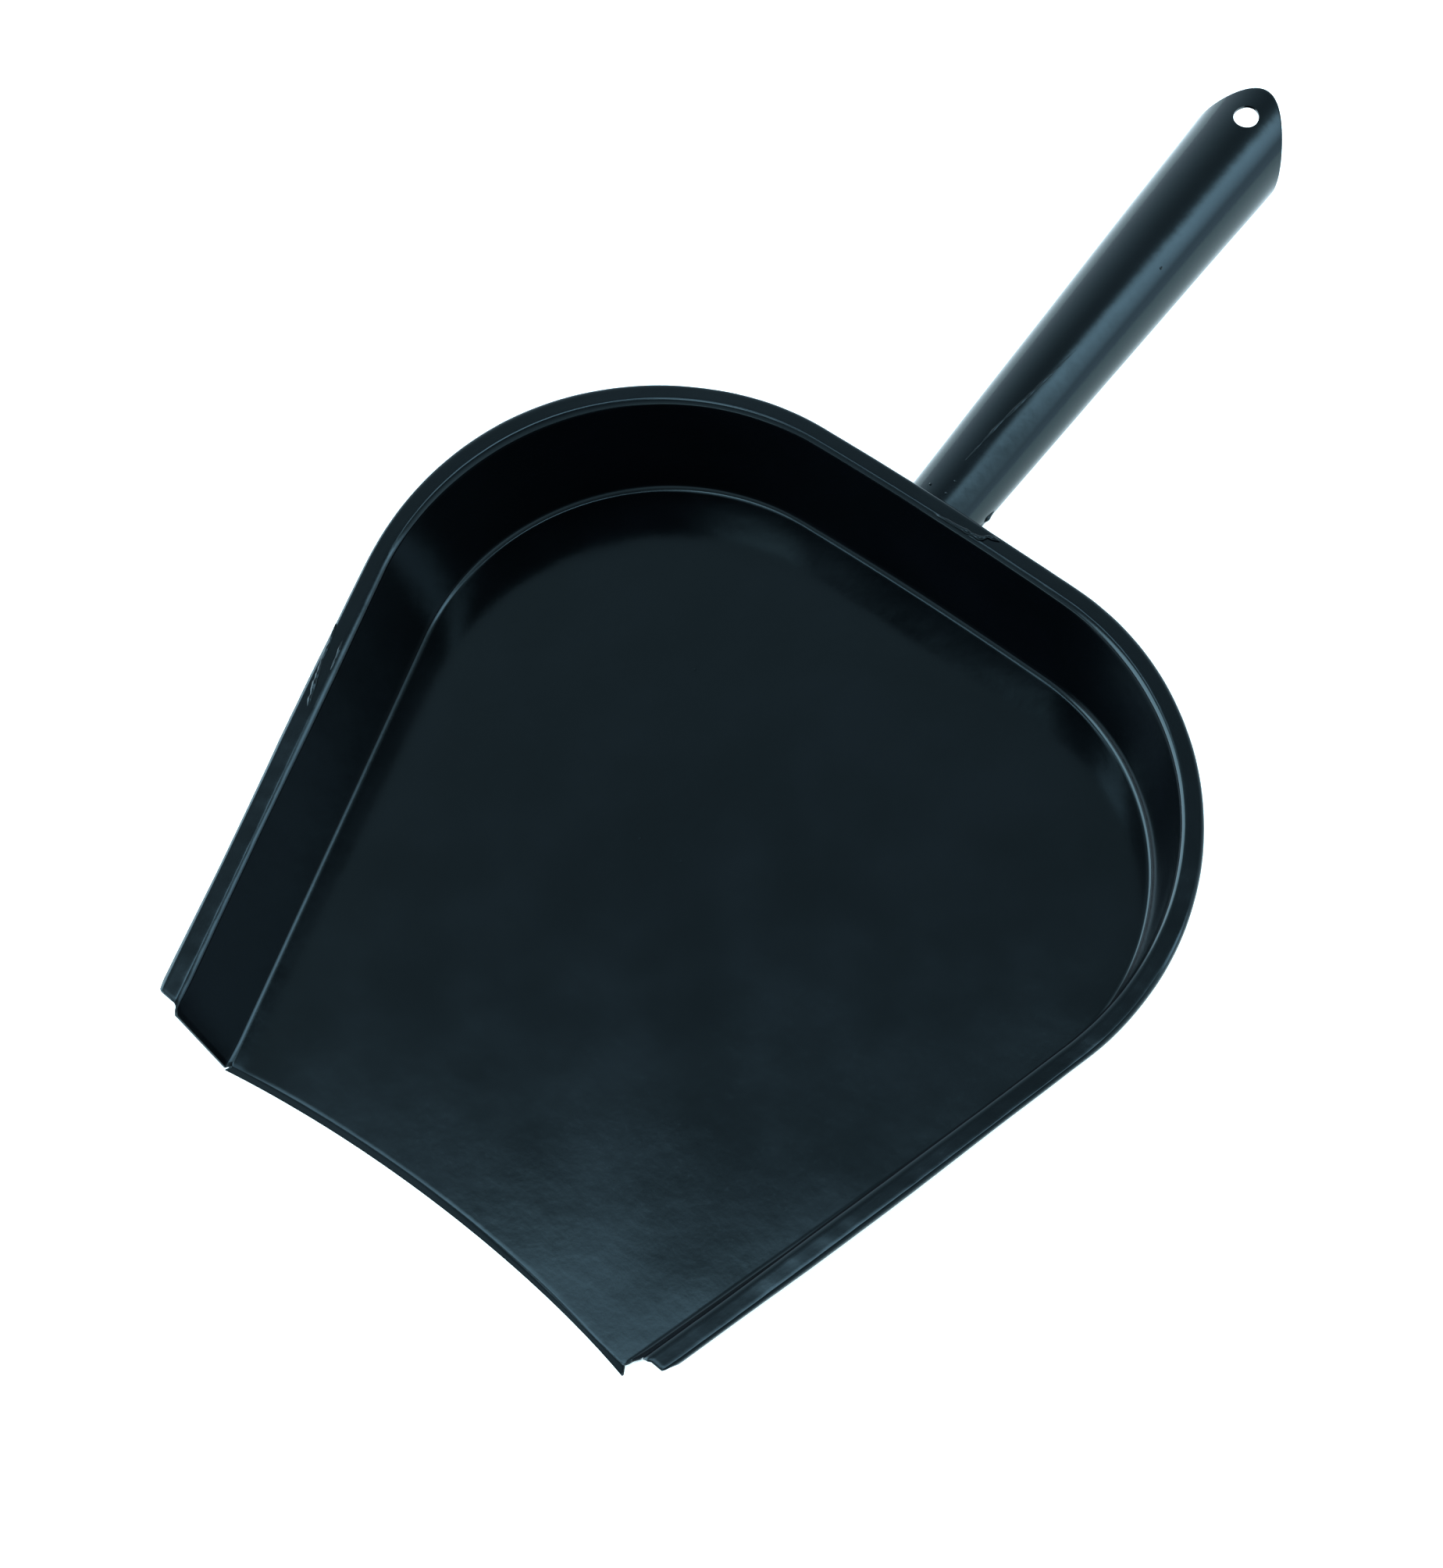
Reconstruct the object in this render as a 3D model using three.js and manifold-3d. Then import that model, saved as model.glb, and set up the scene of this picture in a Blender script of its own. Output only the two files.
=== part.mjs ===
// A one-piece sheet-steel dustpan with a tube handle.
// The pan is pressed from one sheet: a flat floor that widens from the mouth to two round shoulders,
// outward-leaning walls, a turned-out rim with a rolled-down edge, and a narrow bent-down lip along
// the hollowed mouth. The handle is a tapered tube welded to the back wall under the rim; its far end
// is cut away below to leave a rounded tongue with a hanging hole.
// Millimetres and radians. +Y runs from the mouth to the handle, +X across, +Z up.
import * as THREE from "three";
import { mergeVertices } from "three/addons/utils/BufferGeometryUtils.js";
import Module from "manifold-3d";

const wasm = await Module();
wasm.setup();

const DEGREE = Math.PI / 180;
const SHEET = 1; // thickness of the steel
const GAP = 0.3; // clearance kept between pieces that touch

// Floor outline, measured where the floor and the walls would meet without their fillet.
const MOUTH_HALF_WIDTH = 70;
const FLOOR_DEPTH = 227.5; // from the mouth corners to the back wall, on the centre line
const SIDE_FLARE = 17 * DEGREE; // each side opens out towards the back
const SHOULDER_RADIUS = 73.5;
const BACK_RADIUS = 1325; // the back wall is slightly bowed
const MOUTH_SAG = 5.8; // how far the mouth is hollowed at its middle

// Walls: the lean is how far the top stands outside the foot, the rim reaches on from there. All of
// them change evenly with depth.
const WALL_AT_MOUTH = { height: 31.5, lean: 9.5, rim: 6.9 };
const WALL_AT_BACK = { height: 41.5, lean: 4.5, rim: 6.2 };
// The walls' front edges stand this far ahead of the mouth corners; the right foot is cut back instead.
const LEFT_REACH = { foot: 1.4, top: 1.8 };
const RIGHT_REACH = { foot: -2.2, top: 0.3 };
const CREASE_RADIUS = 1.6; // fillet between floor and wall
const BEND_RADIUS = 2; // wall to rim
const ROLL_RADIUS = 1.2; // rolled-down outer edge of the rim
const ROLL_SKIRT = 0.6; // straight part below the roll

const LIP_WIDTH = 1.8;
const LIP_DROP = 1.1;
const LIP_SLOPE = Math.atan2(LIP_DROP, LIP_WIDTH);

const HANDLE_OFFSET = -5; // the tube is welded a little to one side of the centre line
const HANDLE_HEIGHT = 27.2; // tube axis above the floor, at the top edge of the back wall
const HANDLE_SLOPE = 0.8 * DEGREE;
const HANDLE_ROOT_RADIUS = 11.2;
const HANDLE_TAPER = 0.0277; // growth of the radius for each millimetre towards the far end
const HANDLE_LENGTH = 168.9; // from the top edge of the back wall to the tip of the tongue
const HANDLE_LEAD = 12; // extra tube ahead of that edge, trimmed to the slope of the wall
const TONGUE_LENGTH = 16.6; // the underside is cut back by this much at mid height
const HOLE_FROM_TIP = 10.7;
const HOLE_RADIUS = 3.65;
const BEAD_RADIUS = 1.2;

const STEPS = { floor: 5, side: 4, shoulder: 14, back: 3, crease: 3, bend: 3, roll: 3, tube: 40 };

const mix = (a, b, t) => a + (b - a) * t;

// The +X half of the floor outline, from the mouth corner to the middle of the back wall. Each station
// has its point, its outward normal, and the direction that its wall section is drawn along: straight
// across at the mouth, so that the front edges of the walls lie in one plane, and square to the wall
// from the shoulder on.
function creaseStations() {
  const side = new THREE.Vector2(Math.sin(SIDE_FLARE), Math.cos(SIDE_FLARE));
  const sideNormal = new THREE.Vector2(side.y, -side.x);
  const corner = new THREE.Vector2(MOUTH_HALF_WIDTH, 0);
  const backCentre = new THREE.Vector2(0, FLOOR_DEPTH - BACK_RADIUS);
  const start = corner.clone().addScaledVector(sideNormal, -SHOULDER_RADIUS).sub(backCentre);
  const along = start.dot(side);
  const reach = BACK_RADIUS - SHOULDER_RADIUS;
  const sideLength = Math.sqrt(along ** 2 - start.lengthSq() + reach ** 2) - along;
  const shoulderCentre = start.clone().addScaledVector(side, sideLength).add(backCentre);

  const stations = [];
  for (let i = 0; i < STEPS.side; i++) {
    const t = i / STEPS.side;
    const across = sideNormal.clone().addScaledVector(side, Math.tan(SIDE_FLARE) * (1 - t));
    stations.push({ point: corner.clone().addScaledVector(side, sideLength * t), across });
  }
  const arc = (centre, radius, from, to, steps) => {
    for (let i = 0; i < steps; i++) {
      const angle = mix(from, to, i / steps);
      const across = new THREE.Vector2(Math.cos(angle), Math.sin(angle));
      stations.push({ point: centre.clone().addScaledVector(across, radius), across });
    }
  };
  const meeting = shoulderCentre.clone().sub(backCentre).angle();
  arc(shoulderCentre, SHOULDER_RADIUS, -SIDE_FLARE, meeting, STEPS.shoulder);
  arc(backCentre, BACK_RADIUS, meeting, Math.PI / 2, STEPS.back);
  stations.push({ point: new THREE.Vector2(0, FLOOR_DEPTH), across: new THREE.Vector2(0, 1) });
  return stations;
}

// The upper face of the wall and rim in section: r outward from the crease, z up from the floor, with
// the unit normal (nr, nz) of the face. It starts where the crease fillet leaves the floor.
function wallSection(depth) {
  const share = depth / FLOOR_DEPTH;
  const height = mix(WALL_AT_MOUTH.height, WALL_AT_BACK.height, share);
  const lean = mix(WALL_AT_MOUTH.lean, WALL_AT_BACK.lean, share);
  const turn = Math.PI / 2 - Math.atan2(lean, height);
  const section = [];
  const arc = (r, z, radius, from, to, steps, hollow) => {
    for (let i = 0; i <= steps; i++) {
      const angle = mix(from, to, i / steps);
      const nr = Math.sin(angle);
      const nz = Math.cos(angle);
      const reach = hollow ? -radius : radius;
      section.push({ r: r + reach * nr, z: z + reach * nz, nr, nz });
    }
  };
  const tangent = Math.tan(turn / 2);
  arc(-CREASE_RADIUS * tangent, CREASE_RADIUS, CREASE_RADIUS, 0, -turn, STEPS.crease, true);
  arc(lean + BEND_RADIUS * tangent, height - BEND_RADIUS, BEND_RADIUS, -turn, 0, STEPS.bend);
  section.rimStart = section.length - STEPS.bend;
  const edge = lean + mix(WALL_AT_MOUTH.rim, WALL_AT_BACK.rim, share);
  arc(edge - ROLL_RADIUS, height - ROLL_RADIUS, ROLL_RADIUS, 0, Math.PI / 2, STEPS.roll);
  section.push({ r: edge, z: height - ROLL_RADIUS - ROLL_SKIRT, nr: 1, nz: 0 });
  return section;
}

// One row of the sheet, from the centre line of the floor out to the rim's edge: pairs of points on
// its upper and lower faces.
function sheetRow(station, spineY) {
  const section = wallSection(station.point.y);
  const place = (r, z) => {
    const p = station.point.clone().addScaledVector(station.across, r);
    return new THREE.Vector3(p.x, p.y, z);
  };
  const foot = place(section[0].r, 0);
  const row = [];
  for (let i = 0; i < STEPS.floor; i++) {
    const t = i / STEPS.floor;
    const top = new THREE.Vector3(foot.x * t, mix(Math.min(foot.y, spineY), foot.y, t), 0);
    row.push({ top, bottom: top.clone().setZ(-SHEET) });
  }
  section.forEach((s) =>
    row.push({ top: place(s.r, s.z), bottom: place(s.r - SHEET * s.nr, s.z - SHEET * s.nz) }),
  );
  row.rimStart = STEPS.floor + section.rimStart;
  return row;
}

// The mouth: the first row is bent to the hollowed line of the lip's fold, the wall between floor and
// rim is drawn forward or back, and one more row in front of it is the free edge of the lip.
function shapeMouth(row, reach) {
  const halfWidth = row[STEPS.floor].top.x;
  row.slice(0, STEPS.floor + 1).forEach(({ top, bottom }) => {
    top.y = MOUTH_SAG * (1 - (top.x / halfWidth) ** 2);
    bottom.y = top.y + SHEET * Math.tan(LIP_SLOPE / 2);
  });
  row.slice(STEPS.floor + 1, row.rimStart).forEach(({ top, bottom }) => {
    const forward = mix(reach.foot, reach.top, top.z / WALL_AT_MOUTH.height);
    top.y -= forward;
    bottom.y -= forward;
  });
  return row.map(({ top, bottom }, i) => {
    if (i > STEPS.floor) return { top, bottom };
    const edge = new THREE.Vector3(top.x, top.y - LIP_WIDTH, -LIP_DROP);
    const under = edge.clone();
    under.y += SHEET * Math.sin(LIP_SLOPE);
    under.z -= SHEET * Math.cos(LIP_SLOPE);
    return { top: edge, bottom: under };
  });
}

// A closed geometry from triangles, without the ones that a folded or meeting row leaves empty.
function closedGeometry(triangles) {
  const solid = triangles.filter(
    ([a, b, c]) => !a.equals(b) && !b.equals(c) && !c.equals(a),
  );
  return mergeVertices(new THREE.BufferGeometry().setFromPoints(solid.flat()));
}

// Half of the sheet, drawn on the +X side: its rows from the lip's free edge to the middle of the back.
function halfSheet(reach) {
  const stations = creaseStations();
  const spineY = stations[STEPS.side].point.y;
  const rows = stations.map((station) => sheetRow(station, spineY));
  rows.unshift(shapeMouth(rows[0], reach));
  return rows;
}

function panGeometry() {
  const mirror = (p) => new THREE.Vector3(-p.x, p.y, p.z);
  const left = halfSheet(LEFT_REACH).map((row) =>
    row.map(({ top, bottom }) => ({ top: mirror(top), bottom: mirror(bottom) })),
  );
  const right = halfSheet(RIGHT_REACH).slice(0, -1).reverse();
  const rows = [...left, ...right];

  const triangles = [];
  const quad = (a, b, c, d) => triangles.push([a, b, c], [a, c, d]);
  const last = rows[0].length - 1;
  for (let i = 0; i + 1 < rows.length; i++) {
    const here = rows[i];
    const next = rows[i + 1];
    for (let j = 0; j < last; j++) {
      quad(here[j].top, next[j].top, next[j + 1].top, here[j + 1].top);
      quad(here[j].bottom, here[j + 1].bottom, next[j + 1].bottom, next[j].bottom);
    }
    quad(here[last].top, next[last].top, next[last].bottom, here[last].bottom);
  }
  const closeFront = (row, flip) => {
    for (let j = 0; j < last; j++) {
      const edge = [row[j].top, row[j + 1].top, row[j + 1].bottom, row[j].bottom];
      quad(...(flip ? edge.reverse() : edge));
    }
  };
  closeFront(rows[0], false);
  closeFront(rows[rows.length - 1], true);
  return closedGeometry(triangles);
}

function toSolid(geometry) {
  const bare = geometry.clone();
  bare.deleteAttribute("normal");
  bare.deleteAttribute("uv");
  const merged = mergeVertices(bare);
  const vertProperties = merged.attributes.position.array;
  const triVerts = new Uint32Array(merged.index.array);
  return new wasm.Manifold(new wasm.Mesh({ numProp: 3, vertProperties, triVerts }));
}

function toGeometry(solid) {
  const mesh = solid.getMesh();
  return new THREE.BufferGeometry()
    .setAttribute("position", new THREE.BufferAttribute(mesh.vertProperties, 3))
    .setIndex(new THREE.BufferAttribute(mesh.triVerts, 1));
}

// The handle's frame: its origin is on the tube axis at the top edge of the back wall.
const handlePlace = new THREE.Matrix4()
  .makeRotationX(HANDLE_SLOPE)
  .setPosition(HANDLE_OFFSET, FLOOR_DEPTH + WALL_AT_BACK.lean, HANDLE_HEIGHT);
const tubeRadius = (along) => HANDLE_ROOT_RADIUS + HANDLE_TAPER * along;
const wallLean = Math.atan2(WALL_AT_BACK.lean, WALL_AT_BACK.height);

function tubeBlank() {
  const profile = [];
  const corner = (radius, along) => profile.push(new THREE.Vector2(radius, along));
  corner(tubeRadius(-HANDLE_LEAD) - SHEET, -HANDLE_LEAD);
  corner(tubeRadius(-HANDLE_LEAD), -HANDLE_LEAD);
  corner(tubeRadius(HANDLE_LENGTH), HANDLE_LENGTH);
  corner(tubeRadius(HANDLE_LENGTH) - SHEET, HANDLE_LENGTH);
  profile.push(profile[0].clone());
  return new THREE.LatheGeometry(profile, STEPS.tube);
}

// What is cut off the tube's far end, drawn from the side and carried right across it. Its near edge
// rises straight at first, then sweeps along to the tip, so the top half is left as a round tongue.
function tongueCutter() {
  const reach = tubeRadius(HANDLE_LENGTH) + 2;
  const root = HANDLE_LENGTH - TONGUE_LENGTH;
  const outline = new THREE.Shape();
  outline.moveTo(root - 2.5, -reach);
  outline.lineTo(root, -3);
  outline.quadraticCurveTo(root + 2.5, 9.5, HANDLE_LENGTH, reach - 1.9);
  outline.lineTo(HANDLE_LENGTH, reach);
  outline.lineTo(HANDLE_LENGTH + 5, reach);
  outline.lineTo(HANDLE_LENGTH + 5, -reach);
  const cutter = new THREE.ExtrudeGeometry(outline, {
    depth: 2 * reach,
    bevelEnabled: false,
    curveSegments: 12,
  });
  const toSideView = new THREE.Matrix4().makeBasis(
    new THREE.Vector3(0, 1, 0),
    new THREE.Vector3(0, 0, 1),
    new THREE.Vector3(1, 0, 0),
  );
  return cutter.applyMatrix4(toSideView).translate(-reach, 0, 0);
}

function holeCutter() {
  const height = tubeRadius(HANDLE_LENGTH);
  return new THREE.CylinderGeometry(HOLE_RADIUS, HOLE_RADIUS, height, 24)
    .rotateX(Math.PI / 2)
    .translate(0, HANDLE_LENGTH - HOLE_FROM_TIP, height);
}

// The space of the pan's back wall: its far face lies along the wall's outer face, one gap away.
function wallCutter() {
  const size = 60;
  return new THREE.BoxGeometry(size, size, size)
    .translate(0, -size / 2 + SHEET + GAP, 0)
    .rotateX(-wallLean)
    .translate(HANDLE_OFFSET, FLOOR_DEPTH + WALL_AT_BACK.lean, WALL_AT_BACK.height);
}

function handleGeometry() {
  const tube = toSolid(tubeBlank()).subtract(toSolid(tongueCutter())).subtract(toSolid(holeCutter()));
  const placed = toGeometry(tube).applyMatrix4(handlePlace);
  return toGeometry(toSolid(placed).subtract(toSolid(wallCutter())));
}

// The weld runs round the tube's foot in the corner that it makes with the back wall, and stops on
// both sides below the rim.
function weldGeometry() {
  const drop = WALL_AT_BACK.height - HANDLE_HEIGHT;
  const centre = new THREE.Vector3(
    HANDLE_OFFSET,
    FLOOR_DEPTH + WALL_AT_BACK.lean - drop * Math.tan(wallLean) + SHEET + GAP + BEAD_RADIUS,
    HANDLE_HEIGHT,
  );
  const radius = HANDLE_ROOT_RADIUS + GAP + BEAD_RADIUS;
  const from = 35 * DEGREE;
  const to = -215 * DEGREE;
  class WeldRun extends THREE.Curve {
    getPoint(t, target = new THREE.Vector3()) {
      const angle = mix(from, to, t);
      const up = radius * Math.sin(angle);
      return target.set(radius * Math.cos(angle), up * Math.sin(wallLean), up).add(centre);
    }
  }
  const section = new THREE.Shape().absarc(0, 0, BEAD_RADIUS, 0, 2 * Math.PI);
  return new THREE.ExtrudeGeometry(section, {
    extrudePath: new WeldRun(),
    steps: 24,
    curveSegments: 4,
  });
}

const blackPaint = () =>
  new THREE.MeshStandardMaterial({ color: 0x12171b, roughness: 0.22, metalness: 0 });

function piece(name, geometry) {
  const mesh = new THREE.Mesh(geometry, blackPaint());
  mesh.name = name;
  return mesh;
}

// The pan rests on the edge of its lip and on the back of its floor, so it stands very slightly tilted.
const lipDepth = LIP_DROP + SHEET * Math.cos(LIP_SLOPE) - SHEET;
const restTilt = Math.atan2(lipDepth, FLOOR_DEPTH - CREASE_RADIUS + LIP_WIDTH);

const dustpan = new THREE.Group();
dustpan.add(piece("pan", panGeometry()));
dustpan.add(piece("handle", handleGeometry()));
dustpan.add(piece("weld_bead", weldGeometry()));
dustpan.rotation.x = -restTilt;

// It stands on z = 0, with the origin under the middle of its outer box.
const part = new THREE.Group();
part.add(dustpan);
const box = new THREE.Box3().setFromObject(part, true);
dustpan.position.set(0, -(box.min.y + box.max.y) / 2, -box.min.z);

export default part;
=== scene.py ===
"""A black painted sheet-steel dustpan with a welded tube handle, on a pale table.

Shapes are worked out in millimetres in the pan's own frame (origin between the mouth corners on the upper
face of the floor, +Y towards the handle, +Z up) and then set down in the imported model's frame, in metres.
"""

import math

import bmesh
import bpy
import numpy as np
from mathutils import Matrix, Vector


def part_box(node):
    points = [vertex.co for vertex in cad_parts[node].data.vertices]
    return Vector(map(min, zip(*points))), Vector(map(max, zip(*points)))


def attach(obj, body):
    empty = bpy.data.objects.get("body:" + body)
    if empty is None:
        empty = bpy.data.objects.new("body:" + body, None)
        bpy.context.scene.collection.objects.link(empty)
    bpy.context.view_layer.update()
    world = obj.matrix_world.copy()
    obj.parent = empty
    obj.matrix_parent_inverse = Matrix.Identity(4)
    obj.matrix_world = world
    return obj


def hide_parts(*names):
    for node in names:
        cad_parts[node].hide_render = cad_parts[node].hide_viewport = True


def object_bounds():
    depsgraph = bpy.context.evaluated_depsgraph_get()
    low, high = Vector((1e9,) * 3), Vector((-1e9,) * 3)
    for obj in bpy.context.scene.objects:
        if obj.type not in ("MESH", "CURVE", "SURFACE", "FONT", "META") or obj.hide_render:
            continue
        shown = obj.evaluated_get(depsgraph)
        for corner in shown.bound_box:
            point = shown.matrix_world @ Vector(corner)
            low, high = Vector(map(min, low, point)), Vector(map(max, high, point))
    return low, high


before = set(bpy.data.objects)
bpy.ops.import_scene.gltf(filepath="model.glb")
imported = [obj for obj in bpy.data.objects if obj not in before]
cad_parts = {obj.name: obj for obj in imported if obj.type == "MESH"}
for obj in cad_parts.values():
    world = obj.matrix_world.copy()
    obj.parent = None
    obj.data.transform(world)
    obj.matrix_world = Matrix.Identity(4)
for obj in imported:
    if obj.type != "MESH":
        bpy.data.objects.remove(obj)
cad_low, cad_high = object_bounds()
pan_low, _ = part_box("pan")

MM = 0.001
SHEET = 1.0  # thickness of the steel
MERGE = 0.004  # points closer than this become one

# Floor outline, measured where the floor and the walls would meet without their fillet.
MOUTH_HALF_WIDTH = 70.0
FLOOR_DEPTH = 227.5
SIDE_FLARE = math.radians(17)
SHOULDER_RADIUS = 73.5
BACK_RADIUS = 1325.0
MOUTH_SAG = 5.8  # how far the mouth is hollowed at its middle
HOLLOW_FADE = 60.0  # the rows of the floor follow the hollowed mouth up to this depth

# Floor surface: it rises by CROWN within CROWN_REACH of the walls, except on the right towards the mouth,
# where it's nearly flat. That part comes in smoothly over FLAT_ACROSS in x and FLAT_ALONG in y.
CROWN = 0.55
CROWN_REACH = 17.0
FLATTENING = 0.9
FLAT_ACROSS = (-10.0, 60.0)
FLAT_ALONG = (175.0, 115.0)

# Walls and rim; pairs are the values at the mouth and at the back.
WALL_HEIGHT = (31.5, 41.5)
WALL_LEAN = (9.5, 4.5)  # how far the top stands outside the foot
RIM_WIDTH = (6.9, 6.2)
CREASE_RADIUS = 1.6  # floor to wall
BEND_RADIUS = 2.0  # wall to rim
ROLL_RADIUS = 1.2  # rolled-down edge of the rim
ROLL_SKIRT = 0.6  # straight part below the roll
RIM_RISE = {"left": -0.035, "right": 0.09}  # slope of the rim towards its edge, at the mouth
PINCH = {"left": 0.0, "right": 1.2}  # how far the wall stands in at the mouth
PINCH_REACH = 90.0

# Front edges of the walls: how far they stand ahead of the mouth corners, at the foot and at the top. Near
# the floor and near the rim they draw back to the corners, within FOOT_FADE and TOP_FADE of height.
WALL_REACH = {"left": (1.4, 2.4), "right": (-2.2, 0.3)}
FOOT_FADE = 0.4
TOP_FADE = 2.2
ROLL_SET_BACK = 1.4  # at the front the rim's roll is cut back by this much for each millimetre that it drops
RIM_SET_BACK = 0.7  # and the rim's edge by this much
FRONT_ROUNDING = 0.8  # reach of the sheet's rounded front edge, as a share of half its thickness

# Lip: it bulges over a straight slope and runs straight from 1 / LIP_TURN of its width on.
LIP_WIDTH = 1.8
LIP_DROP = 1.1
LIP_TURN = 2.2
LIP_BULGE = 0.23  # share of the drop
LIP_FIRST_TURN = 0.25  # share of the slope that it has at its fold
LIP_SPREAD = 0.022  # it widens a little towards its free edge
LIP_LONGER = {"left": 0.0, "right": 0.45}  # and reaches further ahead at its ends
LIP_SLOPE = math.atan2(LIP_DROP, LIP_WIDTH)

# Handle tube, and the cut at its far end seen from the side: the cut rises steeply to its knee and sweeps
# on to the tip. Its points are given beyond the tongue's root and above the tube's axis.
HANDLE_OFFSET = -5.0
HANDLE_HEIGHT = 27.2
HANDLE_SLOPE = math.radians(0.8)
HANDLE_ROOT_RADIUS = 11.2
HANDLE_TAPER = 0.0277
HANDLE_LENGTH = 168.9
TONGUE_LENGTH = 16.6
CUT_FOOT = (-2.5, -18.0)
CUT_KNEE = (0.0, -3.0)
CUT_PULL = (2.5, 9.5)
CUT_OVER_CROWN = 0.1
CUT_ROUNDS, CUT_ROUND_SHARE = 30, 0.6
TIP_ROUNDING = 0.6  # reach of the rounded cut edge, as a share of half the sheet's thickness
HOLE_FROM_TIP = 10.7
HOLE_RADIUS = 3.65

# Weld: it runs round the tube from one side, under the bottom, to the other side.
BEAD_RADIUS = 1.25
WELD_FROM, WELD_TO = 35, -215  # degrees
WELD_STAND = 1.0  # its path stands off the wall
WELD_CLEAR = 0.5  # and off the tube
WELD_LUMPS = 0.12
WELD_END_STEPS = 5  # it thins out at both ends, over this many steps
THINNEST = 0.02  # share of its radius squared that is left at its very ends

# Waves in the sheet and the tube. Each has its seed and its wavelength. The sheet's have their heights on
# the floor and on the walls from WAVY_HEIGHT up, and the tube's have one height.
WAVE_COUNT = 28
WAVE_SPREAD = (0.7, 1.6)  # shortest and longest of the waves that are added up, as shares of the wavelength
SHEET_WAVES = ((3, 75, 0.04, 0.16), (5, 24, 0.006, 0.03))
WAVY_HEIGHT = 25
TUBE_WAVES = ((11, 60, 0.06), (13, 16, 0.006))
TUBE_STEADY = 12  # the tube's waves come in over this length from the wall
BEND_WAVES = (7, 7)  # seed and wavelength of the fine waves
BEND_WAVE_HEIGHTS = (0.002, 0.006)  # everywhere, and added along the bend at the top of the wall
BEND_WAVE_REACH = 4
WELD_WAVES = (17, 5)
RUN_WAVES = (19, 3)

# How finely each part is divided.
SIDE_ROWS, SHOULDER_ROWS, BACK_ROWS, LIP_ROWS, FRONT_ROWS = 104, 106, 30, 8, 5
FLOOR_COLUMNS, CREASE_COLUMNS, WALL_COLUMNS, BEND_COLUMNS, RIM_COLUMNS, ROLL_COLUMNS = 34, 9, 24, 10, 5, 8
EDGE_COLUMNS = 6
FRONT_FADE_ROWS = 6  # the walls' front edges blend in over this many rows
ROLL_START_ROWS = 4  # the rim's rolled edge comes in over this many rows
FLOOR_SPACING = 1.5  # above 1, columns draw together towards the crease
TUBE_ROWS, TUBE_COLUMNS, TIP_ROWS = 150, 180, 6
TUBE_SPACING = 1.15  # above 1, rows draw together towards the tip
CUT_STEPS = 60
DRILL_SIDES = 72
SHARP_ANGLE = math.radians(40)
WELD_STEPS, WELD_COLUMNS = 150, 20
RUN_STEPS, LONG_RUN_STEPS, NIB_STEPS, RUN_COLUMNS = 28, 60, 9, 10


def mix(a, b, t):
    return a + (b - a) * t


def unit(v):
    return v / np.linalg.norm(v, axis=-1, keepdims=True)


def ramp(value, start, end):
    """0 at the start, 1 at the end, smooth in between and level beyond."""
    t = np.clip((value - start) / (end - start), 0, 1)
    return t * t * (3 - 2 * t)


def ripple(points, seed, wavelength):
    """Smooth random waviness of about unit height at the points, with humps about a wavelength apart."""
    rng = np.random.default_rng(seed)
    ways = unit(rng.normal(size=(WAVE_COUNT, 3)))
    pitch = 2 * math.pi / (wavelength * rng.uniform(*WAVE_SPREAD, WAVE_COUNT))
    phases = rng.uniform(0, 2 * math.pi, WAVE_COUNT)
    return np.sin(points @ (ways * pitch[:, None]).T + phases).sum(-1) / math.sqrt(WAVE_COUNT / 2)


# ---------------------------------------------------------------- placing

# The pan stands on its lip and on the back of its floor. The lip's free edge is the foremost part of the
# packed pan, and the edge under it the lowest.
lip_depth = LIP_DROP + SHEET * math.cos(LIP_SLOPE) - SHEET
rest_tilt = math.atan2(lip_depth, FLOOR_DEPTH - CREASE_RADIUS + LIP_WIDTH)
tilt = Matrix.Rotation(-rest_tilt, 4, "X")
lip_corner = tilt @ Matrix.Translation((0, -LIP_WIDTH, -LIP_DROP)).translation
lip_under = tilt @ Matrix.Translation(
    (0, SHEET * math.sin(LIP_SLOPE) - LIP_WIDTH, -LIP_DROP - SHEET * math.cos(LIP_SLOPE))
).translation
to_row = (
    Matrix.Translation((0, pan_low.y - lip_corner.y * MM, pan_low.z - lip_under.z * MM))
    @ tilt
    @ Matrix.Scale(MM, 4)
)


def add_piece(name, points, faces, node, material):
    """A mesh given in the pan's frame, in millimetres, becomes a piece, which stands for a CAD node if one
    is named."""
    mesh = bpy.data.meshes.new(name)
    mesh.from_pydata([tuple(p) for p in points], [], [tuple(f) for f in faces])
    mesh.transform(to_row)
    tidy = bmesh.new()
    tidy.from_mesh(mesh)
    bmesh.ops.remove_doubles(tidy, verts=tidy.verts, dist=MERGE * MM)
    bmesh.ops.dissolve_degenerate(tidy, edges=tidy.edges, dist=MERGE * MM)
    bmesh.ops.recalc_face_normals(tidy, faces=tidy.faces)
    tidy.to_mesh(mesh)
    tidy.free()
    mesh.shade_smooth()
    mesh.materials.append(material)
    piece = bpy.data.objects.new(name, mesh)
    bpy.context.scene.collection.objects.link(piece)
    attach(piece, "root")
    if node:
        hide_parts(node)
    return piece


def grid_faces(rows, columns, wrap=False):
    """Quads between neighbouring points of a rows by columns grid, with the columns joined up if asked."""
    index = np.arange(rows * columns).reshape(rows, columns)
    nxt = np.roll(index, -1, axis=1)
    last = columns if wrap else columns - 1
    a, b, c, d = index[:-1, :last], nxt[:-1, :last], nxt[1:, :last], index[1:, :last]
    return np.stack([a, b, c, d], -1).reshape(-1, 4)


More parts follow.
